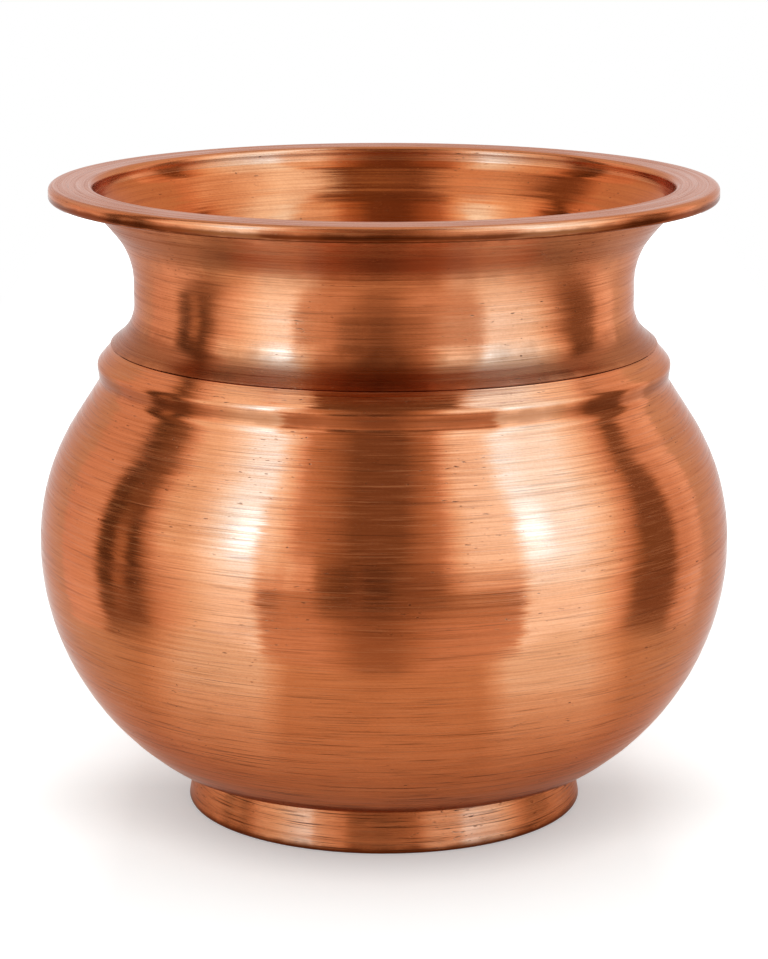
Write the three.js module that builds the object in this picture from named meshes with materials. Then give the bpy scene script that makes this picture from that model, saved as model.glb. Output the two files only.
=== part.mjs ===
// A copper lota: a round-bellied water pot with a waisted neck, a flat rim and a low foot ring.
// Every piece is turned about the Z axis. Millimetres, +Z up, origin at the centre of the foot's underside.
// The belly and the neck are spun from sheet, and the rim and the foot are turned rings.
// Fillets of brazing metal hold the four together.

import * as THREE from "three";

// Driving dimensions: sheet and fits
const BELLY_SHEET = 0.9;
const NECK_SHEET = 0.9;
const FIT_GAP = 0.3;

// Driving dimensions: foot ring
const FOOT_HEIGHT = 9.2;
const FOOT_INSET = 3.5;
const FOOT_WALL = 2.2;
const FOOT_TAPER = 0.6;
const FOOT_EDGE_ROUND = 1.0;

// Driving dimensions: belly, from its flat base up to the slope below the shoulder
const BASE_RADIUS = 40.1;
const BASE_CORNER_ROUND = 2.0;
const BASE_CORNER_ANGLE = 56.5;
const BELLY_RADIUS = 62.2;
const BELLY_RISE = 39.4;
const BELLY_SLOPE_ANGLE = 33;
const BELLY_SLOPE_LENGTH = 7.4;
const SHOULDER_RISE = 28.8;

// Driving dimensions: shoulder bead, with the groove under it
const GROOVE_ROUND = 2.5;
const BEAD_UNDERCUT_ANGLE = 8;
const BEAD_WALL = 1.8;
const BEAD_ROUND = 1.5;
const BEAD_SLOPE_ANGLE = 41;
const BEAD_SLOPE_LENGTH = 3.4;

// Driving dimensions: lap joint of neck and belly
const LAP_STEP = 0.3;
const LAP_TURN_ANGLE = 22;

// Driving dimensions: neck, from its skirt up to the flare
const NECK_RADIUS = 44.65;
const SKIRT_ANGLE = 50;
const SKIRT_LENGTH = 1.85;
const SKIRT_ROUND = 7.5;
const WAIST_HEIGHT = 3.9;
const FLARE_ROUND = 14;
const FLARE_ANGLE = 40.6;
const FLARE_LENGTH = 7.75;

// Driving dimensions: rim ring
const RIM_WIDTH = 7.9;
const RIM_THICKNESS = 2.55;
const RIM_LIP = 0.3;
const RIM_INNER_ROUND = 1.1;
const RIM_OUTER_ROUND = 1.8;
const RIM_UNDER_ROUND = 0.6;

// Driving dimensions: brazing metal
const BRAZE_LEG = 1.3;
const BRAZE_ANGLE = 12;

// How finely the round stretches are stepped, and how long the handles of a near-circular curve are
const AROUND = 60;
const LARGE_CURVE_STEP = 7.5;
const SMALL_CURVE_STEP = 18;
const HANDLE_SHARE = 0.35;

const copper = new THREE.MeshStandardMaterial({ color: 0xc0714a, roughness: 0.28, metalness: 1 });
const wornCopper = new THREE.MeshStandardMaterial({ color: 0xb2653f, roughness: 0.35, metalness: 1 });
const brazingMetal = new THREE.MeshStandardMaterial({ color: 0xb98a4e, roughness: 0.45, metalness: 1 });

const at = (r, z) => new THREE.Vector2(r, z);

// A surface's tilt is the angle of its outward normal above the horizontal.
// The normal points along outward(tilt), and the surface climbs along upward(tilt).
const outward = (tilt) => {
  const angle = THREE.MathUtils.degToRad(tilt);
  return at(Math.cos(angle), Math.sin(angle));
};

const upward = (tilt) => {
  const normal = outward(tilt);
  return at(-normal.y, normal.x);
};

const moved = (point, direction, distance) => point.clone().addScaledVector(direction, distance);

// The centre of a round that bulges out, or with a negative radius in, through a point of known tilt.
const centreOf = (point, tilt, radius) => moved(point, outward(tilt), -radius);

// Points of a round from one tilt to another. A negative radius makes a hollow round.
function round(centre, radius, fromTilt, toTilt, stepAngle) {
  const steps = Math.max(1, Math.round(Math.abs(toTilt - fromTilt) / stepAngle));
  return Array.from({ length: steps + 1 }, (_, i) =>
    moved(centre, outward(fromTilt + ((toTilt - fromTilt) * i) / steps), radius),
  );
}

// Points of a long swelling curve that leaves one point and reaches another at the given tilts.
function swell(start, startTilt, end, endTilt) {
  const handle = start.distanceTo(end) * HANDLE_SHARE;
  const curve = new THREE.CubicBezierCurve(
    start,
    moved(start, upward(startTilt), handle),
    moved(end, upward(endTilt), -handle),
    end,
  );
  return curve.getPoints(Math.ceil(Math.abs(endTilt - startTilt) / LARGE_CURVE_STEP));
}

// Leaves out points that repeat the one before.
const withoutRepeats = (points) => points.filter((p, i) => i === 0 || p.distanceTo(points[i - 1]) > 1e-4);

// The path that runs beside an upward path, one sheet thickness nearer the axis, with mitred corners.
function besidePath(path, thickness) {
  return path.map((point, i) => {
    const before = path[Math.max(i - 1, 0)];
    const after = path[Math.min(i + 1, path.length - 1)];
    const arriving = i === 0 ? after.clone().sub(point) : point.clone().sub(before);
    const leaving = i === path.length - 1 ? arriving.clone() : after.clone().sub(point);
    arriving.normalize();
    leaving.normalize();
    const inward = at(-arriving.y - leaving.y, arriving.x + leaving.x);
    return moved(point, inward, (2 * thickness) / inward.lengthSq());
  });
}

// A closed outline of sheet metal whose outer face follows an upward path.
function sheetOutline(outerPath, thickness) {
  const outer = withoutRepeats(outerPath);
  return [...outer, ...besidePath(outer, thickness).reverse()];
}

// A solid of revolution from an outline that runs up its outer side and down its inner side.
function turned(name, outline, material, onAxis = false) {
  const points = onAxis ? outline : [...outline, outline[0].clone()];
  const geometry = new THREE.LatheGeometry(points, AROUND).rotateX(Math.PI / 2);
  const mesh = new THREE.Mesh(geometry, material);
  mesh.name = name;
  return mesh;
}

// Belly landmarks, from the base up
const base = at(BASE_RADIUS, FOOT_HEIGHT);
const baseCornerCentre = moved(base, at(0, 1), BASE_CORNER_ROUND);
const bellyStart = moved(baseCornerCentre, outward(-BASE_CORNER_ANGLE), BASE_CORNER_ROUND);
const bellyWidest = at(BELLY_RADIUS, FOOT_HEIGHT + BELLY_RISE);
const slopeTopHeight = bellyWidest.y + SHOULDER_RISE;

// The bead is laid out from the top of the belly's slope. Its radius follows from the neck's, below.
function beadFrom(slopeTop) {
  const grooveCentre = centreOf(slopeTop, BELLY_SLOPE_ANGLE, -GROOVE_ROUND);
  const groove = round(
    grooveCentre,
    -GROOVE_ROUND,
    BELLY_SLOPE_ANGLE,
    -BEAD_UNDERCUT_ANGLE,
    SMALL_CURVE_STEP,
  );
  const wallTop = moved(groove.at(-1), upward(-BEAD_UNDERCUT_ANGLE), BEAD_WALL);
  const beadCentre = centreOf(wallTop, -BEAD_UNDERCUT_ANGLE, BEAD_ROUND);
  const bead = round(beadCentre, BEAD_ROUND, -BEAD_UNDERCUT_ANGLE, BEAD_SLOPE_ANGLE, SMALL_CURVE_STEP);
  const seat = moved(bead.at(-1), upward(BEAD_SLOPE_ANGLE), BEAD_SLOPE_LENGTH);
  return [...groove, ...bead, seat];
}

// Skirt landmarks. The skirt's cut edge stands just off the belly's seat, a little proud of it.
const skirtRun =
  SKIRT_ROUND * (1 - outward(SKIRT_ANGLE).x) - SKIRT_LENGTH * upward(SKIRT_ANGLE).x;
const skirtEdgeRadius = NECK_RADIUS + skirtRun;
const edgeToSeat = upward(SKIRT_ANGLE)
  .multiplyScalar(-FIT_GAP)
  .addScaledVector(outward(SKIRT_ANGLE), -LAP_STEP);
const seatRadius = skirtEdgeRadius + edgeToSeat.x;

const beadAtAxis = beadFrom(at(0, slopeTopHeight));
const slopeTop = at(seatRadius - beadAtAxis.at(-1).x, slopeTopHeight);
const beadPath = beadFrom(slopeTop);
const seat = beadPath.at(-1);
const skirtEdge = seat.clone().sub(edgeToSeat);

// Neck landmarks, from the skirt up
const skirtTop = moved(skirtEdge, upward(SKIRT_ANGLE), SKIRT_LENGTH);
const skirtCentre = centreOf(skirtTop, SKIRT_ANGLE, -SKIRT_ROUND);
const waistBottom = at(NECK_RADIUS, skirtCentre.y);
const waistTop = moved(waistBottom, at(0, 1), WAIST_HEIGHT);
const flareCentre = centreOf(waistTop, 0, -FLARE_ROUND);
const flareStart = moved(flareCentre, outward(-FLARE_ANGLE), -FLARE_ROUND);
const neckTop = moved(flareStart, upward(-FLARE_ANGLE), FLARE_LENGTH);

// Rim landmarks
const flareSheetWidth = NECK_SHEET / outward(FLARE_ANGLE).x;
const rimInnerRadius = neckTop.x - flareSheetWidth - RIM_LIP;
const rimOuterRadius = rimInnerRadius + RIM_WIDTH;
const rimTop = neckTop.y + RIM_THICKNESS;

// The belly: a flat base, a swelling side, the bead, and a collar that is set in to slip under the skirt.
function bellyShell() {
  const slopeBottom = moved(slopeTop, upward(BELLY_SLOPE_ANGLE), -BELLY_SLOPE_LENGTH);
  const setIn = NECK_SHEET + FIT_GAP - LAP_STEP;
  const collarFoot = moved(seat, outward(SKIRT_ANGLE), -setIn);
  const collarRound = SKIRT_ROUND + NECK_SHEET + FIT_GAP;
  const collarTurn = round(
    skirtCentre,
    -collarRound,
    SKIRT_ANGLE,
    SKIRT_ANGLE - LAP_TURN_ANGLE,
    LARGE_CURVE_STEP,
  );
  const outerPath = [
    at(0, FOOT_HEIGHT),
    ...round(baseCornerCentre, BASE_CORNER_ROUND, -90, -BASE_CORNER_ANGLE, SMALL_CURVE_STEP),
    ...swell(bellyStart, -BASE_CORNER_ANGLE, bellyWidest, 0),
    ...swell(bellyWidest, 0, slopeBottom, BELLY_SLOPE_ANGLE),
    ...beadPath,
    collarFoot,
    ...collarTurn,
  ];
  return turned("belly_shell", sheetOutline(outerPath, BELLY_SHEET), copper, true);
}

// The neck: a skirt over the belly's collar, a straight waist and a flare cut level under the rim.
function neckShell() {
  const outerPath = withoutRepeats([
    skirtEdge,
    ...round(skirtCentre, -SKIRT_ROUND, SKIRT_ANGLE, 0, LARGE_CURVE_STEP),
    ...round(flareCentre, -FLARE_ROUND, 0, -FLARE_ANGLE, LARGE_CURVE_STEP),
    neckTop,
  ]);
  const innerPath = besidePath(outerPath, NECK_SHEET);
  innerPath[innerPath.length - 1] = at(neckTop.x - flareSheetWidth, neckTop.y);
  return turned("neck_shell", [...outerPath, ...innerPath.reverse()], copper);
}

// The rim: a thick flat ring with rounded edges that lies on the end of the flare.
function rimRing() {
  const underCentre = at(rimOuterRadius - RIM_UNDER_ROUND, neckTop.y + RIM_UNDER_ROUND);
  const outerCentre = at(rimOuterRadius - RIM_OUTER_ROUND, rimTop - RIM_OUTER_ROUND);
  const innerCentre = at(rimInnerRadius + RIM_INNER_ROUND, rimTop - RIM_INNER_ROUND);
  return turned(
    "rim_ring",
    withoutRepeats([
      at(rimInnerRadius, neckTop.y),
      ...round(underCentre, RIM_UNDER_ROUND, -90, 0, SMALL_CURVE_STEP * 2),
      ...round(outerCentre, RIM_OUTER_ROUND, 0, 90, SMALL_CURVE_STEP),
      ...round(innerCentre, RIM_INNER_ROUND, 90, 180, SMALL_CURVE_STEP),
    ]),
    wornCopper,
  );
}

// Foot landmarks: the ring leans in a little towards the ground
const footTopRadius = BASE_RADIUS - FOOT_INSET;
const footBottomRadius = footTopRadius - FOOT_TAPER;
const footInnerRadius = footBottomRadius - FOOT_WALL;

// The foot: a ring whose top meets the flat base and whose lower outer edge is rounded.
function footRing() {
  const edgeCentre = at(footBottomRadius - FOOT_EDGE_ROUND, FOOT_EDGE_ROUND);
  return turned(
    "foot_ring",
    withoutRepeats([
      at(footInnerRadius, 0),
      ...round(edgeCentre, FOOT_EDGE_ROUND, -90, 0, SMALL_CURVE_STEP),
      at(footTopRadius, FOOT_HEIGHT),
      at(footInnerRadius, FOOT_HEIGHT),
    ]),
    wornCopper,
  );
}

// Brazing metal in the corner between the foot's inner wall and the base.
function footBraze() {
  const outerRadius = footInnerRadius - FIT_GAP;
  return turned(
    "foot_braze",
    [
      at(outerRadius, FOOT_HEIGHT - BRAZE_LEG),
      at(outerRadius, FOOT_HEIGHT),
      at(outerRadius - BRAZE_LEG, FOOT_HEIGHT),
    ],
    brazingMetal,
  );
}

// Brazing metal inside the neck, above the cut edge of the belly's collar.
function shoulderBraze() {
  const nearRadius = SKIRT_ROUND + NECK_SHEET + FIT_GAP;
  const gapAngle = THREE.MathUtils.radToDeg(FIT_GAP / nearRadius);
  const fromTilt = SKIRT_ANGLE - LAP_TURN_ANGLE - gapAngle;
  const againstNeck = round(
    skirtCentre,
    -nearRadius,
    fromTilt,
    fromTilt - BRAZE_ANGLE,
    LARGE_CURVE_STEP,
  );
  const heel = moved(skirtCentre, outward(fromTilt), -(nearRadius + BELLY_SHEET));
  return turned("shoulder_braze", [...againstNeck, heel], brazingMetal);
}

// Brazing metal in the corner between the flare and the underside of the rim.
function rimBraze() {
  const corner = moved(neckTop, at(1, 0), FIT_GAP / outward(FLARE_ANGLE).x);
  const lowEnd = moved(corner, upward(-FLARE_ANGLE), -BRAZE_LEG);
  const farEnd = moved(corner, at(1, 0), BRAZE_LEG);
  return turned("rim_braze", [lowEnd, farEnd, corner], brazingMetal);
}

const lota = new THREE.Group();
lota.add(
  bellyShell(),
  neckShell(),
  rimRing(),
  footRing(),
  footBraze(),
  shoulderBraze(),
  rimBraze(),
);

export default lota;
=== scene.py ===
import logging
import math
from dataclasses import dataclass
from enum import Enum
from typing import Callable, Sequence

import bpy
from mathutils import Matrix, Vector


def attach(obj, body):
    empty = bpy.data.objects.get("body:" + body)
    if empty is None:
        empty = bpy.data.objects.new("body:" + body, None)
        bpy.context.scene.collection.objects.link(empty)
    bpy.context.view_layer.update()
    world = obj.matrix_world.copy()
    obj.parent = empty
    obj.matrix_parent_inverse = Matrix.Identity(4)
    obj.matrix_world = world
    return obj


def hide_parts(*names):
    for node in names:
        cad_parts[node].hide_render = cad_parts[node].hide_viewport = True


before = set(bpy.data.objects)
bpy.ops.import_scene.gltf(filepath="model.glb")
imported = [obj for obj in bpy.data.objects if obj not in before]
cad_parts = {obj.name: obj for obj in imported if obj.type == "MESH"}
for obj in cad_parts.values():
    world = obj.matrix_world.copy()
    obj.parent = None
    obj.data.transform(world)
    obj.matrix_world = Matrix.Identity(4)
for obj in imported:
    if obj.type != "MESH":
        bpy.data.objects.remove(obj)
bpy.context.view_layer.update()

LOG = logging.getLogger("lota")
MM = 0.001
PATH_TOLERANCE = 1e-4
MERGE_REACH = 0.002 * MM
SMOOTH_LIMIT = math.radians(32)
HANDLE_SHARE = 0.35
MOUTH_LIP = 0.3
WHITE = (1.0, 1.0, 1.0, 1.0)

Point = Vector
Path = list[Vector]
Span = tuple[float, float]
Colour = tuple[float, float, float, float]
Node = bpy.types.Node
Socket = bpy.types.NodeSocket
Tree = bpy.types.NodeTree
Material = bpy.types.Material
Value = Socket | float


class Side(Enum):
    """Which face of a sheet a piece of surface belongs to."""

    OUTER = 0
    INNER = 1


# ---- Paths of a turned profile: x is the radius, y the height, both in millimetres ----


def at(radius: float, height: float) -> Point:
    """Returns the profile point at a radius and a height."""
    return Vector((radius, height))


def outward(tilt: float) -> Point:
    """Returns the outward normal of a surface whose normal is tilted up by that many degrees."""
    angle = math.radians(tilt)
    return at(math.cos(angle), math.sin(angle))


def upward(tilt: float) -> Point:
    """Returns the direction in which a surface of that tilt climbs."""
    normal = outward(tilt)
    return at(-normal.y, normal.x)


def arc(centre: Point, radius: float, start: float, end: float, step: float) -> Path:
    """Makes the points of a round between two tilts.

    Args:
        centre: the round's centre.
        radius: its radius, negative for a hollow round.
        start: the tilt at the first point, in degrees.
        end: the tilt at the last point, in degrees.
        step: the largest turn from one point to the next, in degrees.

    Returns:
        The points, both ends included.
    """
    count = max(1, math.ceil(abs(end - start) / step))
    return [centre + outward(start + (end - start) * i / count) * radius for i in range(count + 1)]


def swell(start: Point, start_tilt: float, end: Point, end_tilt: float, step: float) -> Path:
    """Makes a long swelling curve that leaves and reaches its ends at given tilts.

    Args:
        start: the first point.
        start_tilt: the tilt there, in degrees.
        end: the last point.
        end_tilt: the tilt there, in degrees.
        step: the distance between points, in millimetres.

    Returns:
        The points, both ends included.
    """
    handle = (end - start).length * HANDLE_SHARE
    ends = (start, start + upward(start_tilt) * handle, end - upward(end_tilt) * handle, end)
    count = math.ceil((end - start).length / step)
    points = []
    for i in range(count + 1):
        t = i / count
        weights = ((1 - t) ** 3, 3 * t * (1 - t) ** 2, 3 * t * t * (1 - t), t**3)
        points.append(sum((p * w for p, w in zip(ends, weights)), Vector((0, 0))))
    return points


def tidied(path: Sequence[Point]) -> Path:
    """Drops the points that repeat the one before.

    Args:
        path: the path.

    Returns:
        The path without them.
    """
    kept: Path = []
    for point in path:
        if not kept or (point - kept[-1]).length > PATH_TOLERANCE:
            kept.append(point)
    return kept


def filled_in(path: Sequence[Point], step: float) -> Path:
    """Adds points until none is further than step from the next.

    Args:
        path: the path.
        step: the longest way from one point to the next, in millimetres.

    Returns:
        The path with the added points.
    """
    full: Path = [path[0]]
    for before, after in zip(path, path[1:]):
        count = max(1, math.ceil((after - before).length / step))
        full += [before.lerp(after, i / count) for i in range(1, count + 1)]
    return full


def beside(path: Sequence[Point], distance: float) -> Path:
    """Makes the path that runs beside another, nearer the axis, with mitred corners.

    Args:
        path: a path that climbs.
        distance: how far beside it the new path runs.

    Returns:
        One point for each point of the path.
    """
    moved: Path = []
    for i, point in enumerate(path):
        after = path[min(i + 1, len(path) - 1)]
        before = path[max(i - 1, 0)]
        arriving = (point - before if i else after - point).normalized()
        leaving = (after - point if i < len(path) - 1 else point - before).normalized()
        inward = Vector((-arriving.y - leaving.y, arriving.x + leaving.x))
        moved.append(point + inward * (2 * distance / inward.length_squared))
    return moved


@dataclass(frozen=True)
class ToolMarks:
    """Shallow rings that the turning tool leaves, as waves along the profile.

    Each wave is its length and its height in millimetres. The waves drift, so that no two rings are alike.
    """

    waves: tuple[Span, ...]
    fade: float = 2.0
    drift: float = 1.9
    drift_length: float = 5.3
    drift_shift: float = 1.7
    wave_shift: float = 2.4

    def worked(self, path: Sequence[Point], side: float) -> Path:
        """Adds the rings to a path.

        Args:
            path: the smooth path.
            side: 1 if the metal lies on the axis side of a climbing path, -1 if beyond it.

        Returns:
            The path with its points moved along their normals.
        """
        lengths = [0.0]
        for before, after in zip(path, path[1:]):
            lengths.append(lengths[-1] + (after - before).length)
        total = lengths[-1]
        worked: Path = []
        for i, (point, s) in enumerate(zip(path, lengths)):
            before, after = path[max(i - 1, 0)], path[min(i + 1, len(path) - 1)]
            along = (after - before).normalized()
            normal = Vector((along.y, -along.x)) * side
            height = 0.0
            for k, (length, depth) in enumerate(self.waves):
                slow = s * math.tau / (length * self.drift_length) + self.drift_shift * k
                phase = s * math.tau / length + self.wave_shift * k + self.drift * math.sin(slow)
                height += depth * math.sin(phase)
            window = min(1.0, s / self.fade, (total - s) / self.fade)
            worked.append(point + normal * height * max(0.0, window))
        return worked


# ---- Meshes ----


def deselected() -> None:
    """Leaves edit mode and deselects every object."""
    if bpy.context.mode != "OBJECT":
        bpy.ops.object.mode_set(mode="OBJECT")
    bpy.ops.object.select_all(action="DESELECT")


def spun(
    name: str,
    outline: Sequence[Point],
    steps: int,
    closed: bool = True,
    turn: float = 360.0,
    start: float = 0.0,
) -> bpy.types.Object:
    """Models a turned piece: a point is drawn out along the outline, and the outline is spun round Z.

    Args:
        name: the object's name.
        outline: profile points in millimetres.
        steps: how many steps the spin takes.
        closed: whether the last point joins the first.
        turn: how far the outline is spun, in degrees.
        start: the azimuth of the outline, in degrees from -Y towards +X.

    Returns:
        The object, at the origin, with its place in its mesh.
    """
    deselected()
    heading = Vector((math.sin(math.radians(start)), -math.cos(math.radians(start)), 0.0))
    places = [heading * (p.x * MM) + Vector((0, 0, p.y * MM)) for p in outline]
    bpy.ops.mesh.primitive_plane_add(size=2 * MM, location=places[0])
    piece = bpy.context.object
    piece.name = name
    piece.data.name = name
    bpy.ops.object.transform_apply(location=True, rotation=True, scale=True)
    bpy.ops.object.mode_set(mode="EDIT")
    bpy.ops.mesh.select_all(action="SELECT")
    bpy.ops.mesh.merge(type="CENTER")
    way = [*places, places[0]] if closed else places
    for before, after in zip(way, way[1:]):
        bpy.ops.mesh.extrude_region_move(TRANSFORM_OT_translate={"value": after - before})
    bpy.ops.mesh.select_all(action="SELECT")
    bpy.ops.mesh.remove_doubles(threshold=MERGE_REACH)
    bpy.ops.mesh.spin(steps=steps, angle=-math.radians(turn), center=(0, 0, 0), axis=(0, 0, 1))
    bpy.ops.mesh.select_all(action="SELECT")
    bpy.ops.mesh.remove_doubles(threshold=MERGE_REACH)
    bpy.ops.mesh.normals_make_consistent(inside=False)
    bpy.ops.object.mode_set(mode="OBJECT")
    bpy.ops.object.shade_smooth_by_angle(angle=SMOOTH_LIMIT)
    return piece


# ---- Nodes ----


class Board:
    """A node tree that is being wired."""

    def __init__(self, tree: Tree) -> None:
        """Takes the tree to wire."""
        self.tree = tree

    def add(self, kind: str, **settings: object) -> Node:
        """Adds a node.

        Args:
            kind: the node's type without its ShaderNode prefix.
            **settings: the node's own properties.

        Returns:
            The new node.
        """
        node = self.tree.nodes.new("ShaderNode" + kind)
        for key, value in settings.items():
            setattr(node, key, value)
        return node

    def feed(self, socket: Socket, value: object) -> None:
        """Links a socket to another, or sets it to a plain value.

        Args:
            socket: the input that is fed.
            value: the output that it is linked to, or its value.
        """
        if isinstance(value, Socket):
            self.tree.links.new(value, socket)
        else:
            socket.default_value = value

    def wired(self, kind: str, values: Sequence[object], **settings: object) -> Node:
        """Adds a node and feeds its inputs.

        Args:
            kind: the node's type without its ShaderNode prefix.
            values: sockets or plain values for its first inputs.
            **settings: the node's own properties.

        Returns:
            The new node.
        """
        node = self.add(kind, **settings)
        for socket, value in zip(node.inputs, values):
            self.feed(socket, value)
        return node

    def math(self, operation: str, *values: Value) -> Socket:
        """Returns the result of a Math node with those inputs."""
        return self.wired("Math", values, operation=operation).outputs[0]

    def times(self, first: Value, second: Value) -> Socket:
        """Returns the product of two values."""
        return self.math("MULTIPLY", first, second)

    def plus(self, first: Value, second: Value) -> Socket:
        """Returns the sum of two values."""
        return self.math("ADD", first, second)

    def minus(self, first: Value, second: Value) -> Socket:
        """Returns the difference of two values."""
        return self.math("SUBTRACT", first, second)

    def blended(self, share: Value, factor: Value, base: Value) -> Socket:
        """Returns share times factor plus base."""
        return self.math("MULTIPLY_ADD", share, factor, base)

    def ranged(
        self,
        value: Value,
        low: Value,
        high: Value,
        to_low: Value = 0.0,
        to_high: Value = 1.0,
        kind: str = "LINEAR",
    ) -> Socket:
        """Adds a Map Range node that clamps.

        Args:
            value: what is mapped.
            low: the value that gives to_low.
            high: the value that gives to_high.
            to_low: the result at low.
            to_high: the result at high.
            kind: the interpolation.

        Returns:
            The mapped value.
        """
        values = (value, low, high, to_low, to_high)
        return self.wired("MapRange", values, interpolation_type=kind, clamp=True).outputs[0]

    def mixed(self, factor: Value, first: object, second: object) -> Socket:
        """Adds a colour Mix node.

        Args:
            factor: how much of the second colour.
            first: the first colour.
            second: the second colour.

        Returns:
            The mixed colour.
        """
        node = self.add("Mix", data_type="RGBA")
        for index, value in ((0, factor), (6, first), (7, second)):
            self.feed(node.inputs[index], value)
        return node.outputs[2]

    def ramp(self, value: Value, stops: Sequence[tuple[float, Colour]]) -> Socket:
        """Adds a colour ramp.

        Args:
            value: what picks the colour.
            stops: the places, from 0 to 1, and their colours.

        Returns:
            The picked colour.
        """
        node = self.wired("ValToRGB", (value,))
        elements = node.color_ramp.elements
        while len(elements) < len(stops):
            elements.new(1.0)
        for element, (place, colour) in zip(elements, stops):
            element.position = place
            element.color = colour
        return node.outputs[0]

    def vector(self, operation: str, *values: Socket) -> Socket:
        """Returns the vector of a Vector Math node with those inputs."""
        return self.wired("VectorMath", values, operation=operation).outputs[0]

    def scaled(self, vector: Socket, factor: Value) -> Socket:
        """Makes a vector longer or shorter.

        Args:
            vector: the vector.
            factor: how many times as long it becomes.

        Returns:
            The new vector.
        """
        node = self.wired("VectorMath", (vector,), operation="SCALE")
        self.feed(node.inputs["Scale"], factor)
        return node.outputs[0]

    def place(self) -> Socket:
        """Returns the place on the piece, in Object coordinates."""
        return self.add("TexCoord").outputs["Object"]

    def parts(self, vector: Socket) -> tuple[Socket, ...]:
        """Returns the three parts of a vector."""
        return tuple(self.wired("SeparateXYZ", (vector,)).outputs)

    def reach(self, x: Socket, y: Socket) -> Socket:
        """Returns how far a place is from the axis."""
        return self.math("SQRT", self.plus(self.times(x, x), self.times(y, y)))

    def noise(self, vector: Socket, scale: Value, detail: Value) -> Socket:
        """Adds soft noise.

        Args:
            vector: the place.
            scale: how many patches to the metre.
            detail: how many finer layers.

        Returns:
            The noise, from 0 to 1.
        """
        node = self.add("TexNoise", noise_dimensions="3D")
        for key, value in (("Vector", vector), ("Scale", scale), ("Detail", detail)):
            self.feed(node.inputs[key], value)
        return node.outputs[0]

    def raised(self, height: Socket, normal: Socket | None = None) -> Socket:
        """Adds a Bump node.

        Args:
            height: the height in millimetres.
            normal: the normal that is bumped, if it isn't the surface's own.

        Returns:
            The normal.
        """
        node = self.add("Bump")
        self.feed(node.inputs["Distance"], MM)
        self.feed(node.inputs["Height"], height)
        if normal is not None:
            self.feed(node.inputs["Normal"], normal)
        return node.outputs[0]

    def group(self, tree: Tree, **values: Value) -> Sequence[Socket]:
        """Places a node group.

        Args:
            tree: the group.
            **values: its inputs by name.

        Returns:
            The group's outputs.
        """
        node = self.add("Group")
        node.node_tree = tree
        for key, value in values.items():
            self.feed(node.inputs[key], value)
        return node.outputs


def new_group(
    name: str, inputs: dict[str, float], outputs: Sequence[str], kind: str = "NodeSocketFloat"
) -> tuple[Tree, Board, Sequence[Socket], Sequence[Socket]]:
    """Makes an empty shader node group with float inputs.

    Args:
        name: the group's name.
        inputs: the inputs with their default values.
        outputs: the names of the outputs.
        kind: the type of the outputs.

    Returns:
        The tree, its board, the sockets that its inputs arrive at, and those that its outputs leave from.
    """
    tree = bpy.data.node_groups.new(name, "ShaderNodeTree")
    for key, value in inputs.items():
        socket = tree.interface.new_socket(key, in_out="INPUT", socket_type="NodeSocketFloat")
        socket.default_value = value
    for key in outputs:
        tree.interface.new_socket(key, in_out="OUTPUT", socket_type=kind)
    given = tree.nodes.new("NodeGroupInput").outputs
    return tree, Board(tree), given, tree.nodes.new("NodeGroupOutput").inputs


def lines_group() -> Tree:
    """Builds the group of lines round the pot: noise that is long round the axis and short across it.

    Returns:
        The group, with three unlike values of each line.
    """
    inputs = {"Across": 2000.0, "Along": 30.0, "Detail": 3.0, "Grain": 0.5, "Shift": 0.0}
    values = ("Value", "Tilt", "Sway")
    tree, board, given, result = new_group("turning_lines", inputs, values)
    x, y, z = board.parts(board.place())
    across, along = given["Across"], given["Along"]
    stretched = (board.times(x, along), board.times(y, along), board.times(z, across))
    fourth = board.plus(board.times(board.reach(x, y), across), given["Shift"])
    noise = board.add("TexNoise", noise_dimensions="4D")
    board.feed(noise.inputs["Vector"], board.wired("CombineXYZ", stretched).outputs[0])
    board.feed(noise.inputs["W"], fourth)
    board.feed(noise.inputs["Scale"], 1.0)
    board.feed(noise.inputs["Detail"], given["Detail"])
    board.feed(noise.inputs["Roughness"], given["Grain"])
    for key, part in zip(values, board.wired("SeparateColor", (noise.outputs["Color"],)).outputs):
        board.feed(result[key], part)
    return tree


def leaning_group() -> Tree:
    """Builds the group that leans the surface, up or down by Tilt and sideways by Sway, in radians.

    Returns:
        The group, with the leaning normal.
    """
    inputs = {"Tilt": 0.0, "Sway": 0.0}
    tree, board, given, result = new_group("leaning_normal", inputs, ("Normal",), "NodeSocketVector")
    x, y, _ = board.parts(board.place())
    round_axis = board.wired("CombineXYZ", (board.times(y, -1.0), x)).outputs[0]
    across = board.vector("NORMALIZE", round_axis)
    normal = board.add("NewGeometry").outputs["Normal"]
    climb = board.vector("CROSS_PRODUCT", normal, across)
    leaning = board.vector("ADD", normal, board.scaled(across, given["Sway"]))
    leaning = board.vector("ADD", leaning, board.scaled(climb, given["Tilt"]))
    board.feed(result["Normal"], board.vector("NORMALIZE", leaning))
    return tree


def dashes_group(lines: Tree) -> Tree:
    """Builds the group of short dark scratches that run round the pot, in loose clusters.

    Args:
        lines: the group of lines round the pot.

    Returns:
        The group, with a mask that is 1 in a scratch.
    """
    no_scratch, most_scratches, edge = 0.76, 0.58, 0.05
    cluster_scale, cluster_span = 70.0, (0.42, 0.6)
    inputs = {"Across": 1500.0, "Along": 120.0, "Amount": 0.5, "Shift": 11.0}
    tree, board, given, result = new_group("short_scratches", inputs, ("Mask",))
    passed_on = {key: given[key] for key in ("Across", "Along", "Shift")}
    fine = board.group(lines, Detail=1.0, Grain=0.4, **passed_on)[0]
    limit = board.ranged(given["Amount"], 0.0, 1.0, no_scratch, most_scratches)
    scratch = board.ranged(board.minus(fine, limit), 0.0, edge)
    cluster = board.ranged(board.noise(board.place(), cluster_scale, 1.0), *cluster_span)
    board.feed(result["Mask"], board.times(scratch, cluster))
    return tree


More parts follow.
